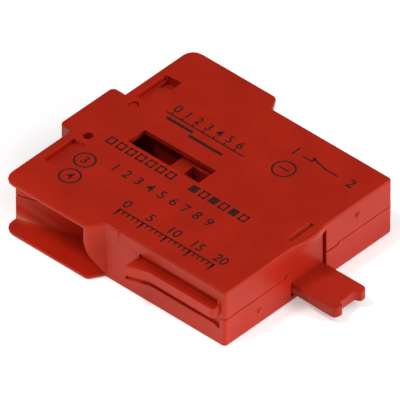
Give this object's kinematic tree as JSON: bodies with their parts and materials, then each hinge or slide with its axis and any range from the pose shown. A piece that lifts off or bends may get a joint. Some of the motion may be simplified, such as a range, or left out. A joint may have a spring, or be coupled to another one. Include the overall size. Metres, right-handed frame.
{
  "type": "emergency stop contact block",
  "caption": "Flat red contact block of an emergency stop button, with a split housing, a sprung plunger with a front tongue, a bridge contact and screw clamp terminals.",
  "frame": {"origin": "centre of the housing's lower wide face, without the rear tab and the plunger's tongue", "axes": "+X the way the plunger points, +Z from the lower wide face to the print side, +Y to the right terminal"},
  "size_m": [0.0524, 0.0412, 0.01],
  "materials": {
    "housing_polyamide": "moulded satin",
    "plunger_polyamide": "moulded satin",
    "brass": "rolled strip",
    "silver": "bright contact rivet",
    "zinc_steel": "zinc plated",
    "spring_steel": "drawn wire"
  },
  "bodies": {
    "housing": {"upper_shell": "housing_polyamide", "lower_shell": "housing_polyamide", "return_spring": "spring_steel", "terminal_rail_left": "brass", "terminal_rail_right": "brass", "fixed_tip_left": "silver", "fixed_tip_right": "silver", "housing_pin_left": "housing_polyamide", "housing_pin_right": "housing_polyamide"},
    "plunger": {"plunger": "plunger_polyamide", "contact_spring": "spring_steel"},
    "bridge": {"contact_bridge": "brass", "bridge_tip_left": "silver", "bridge_tip_right": "silver"},
    "screw_left": {"terminal_screw_left": "zinc_steel"},
    "clamp_left": {"clamp_cage_left": "zinc_steel"},
    "screw_right": {"terminal_screw_right": "zinc_steel"},
    "clamp_right": {"clamp_cage_right": "zinc_steel"}
  },
  "joints": [
    {"name": "plunger_slide", "type": "slide", "parent": "housing", "child": "plunger", "axis": [-1, 0, 0], "range_m": [0, 0.004], "stiffness_N_per_m": 1000, "springref_m": -0.004, "deforming": ["return_spring"]},
    {"name": "bridge_slide", "type": "slide", "parent": "housing", "child": "bridge", "axis": [-1, 0, 0], "range_m": [0, 0.0036], "deforming": ["contact_spring"]},
    {"name": "screw_left_turn", "type": "hinge", "parent": "housing", "child": "screw_left", "pos_m": [-0.0118, -0.0099, 0.005], "axis": [1, 0, 0], "range_deg": [0, 1680]},
    {"name": "clamp_left_slide", "type": "slide", "parent": "housing", "child": "clamp_left", "axis": [-1, 0, 0], "range_m": [0, 0.0028]},
    {"name": "screw_right_turn", "type": "hinge", "parent": "housing", "child": "screw_right", "pos_m": [-0.0118, 0.0099, 0.005], "axis": [1, 0, 0], "range_deg": [0, 1680]},
    {"name": "clamp_right_slide", "type": "slide", "parent": "housing", "child": "clamp_right", "axis": [-1, 0, 0], "range_m": [0, 0.0028]}
  ],
  "couplings": [
    {"joint": "bridge_slide", "follows": "plunger_slide", "ratio": 0.9},
    {"joint": "screw_left_turn", "follows": "clamp_left_slide", "rad_per_m": 10470},
    {"joint": "screw_right_turn", "follows": "clamp_right_slide", "rad_per_m": 10470}
  ]
}
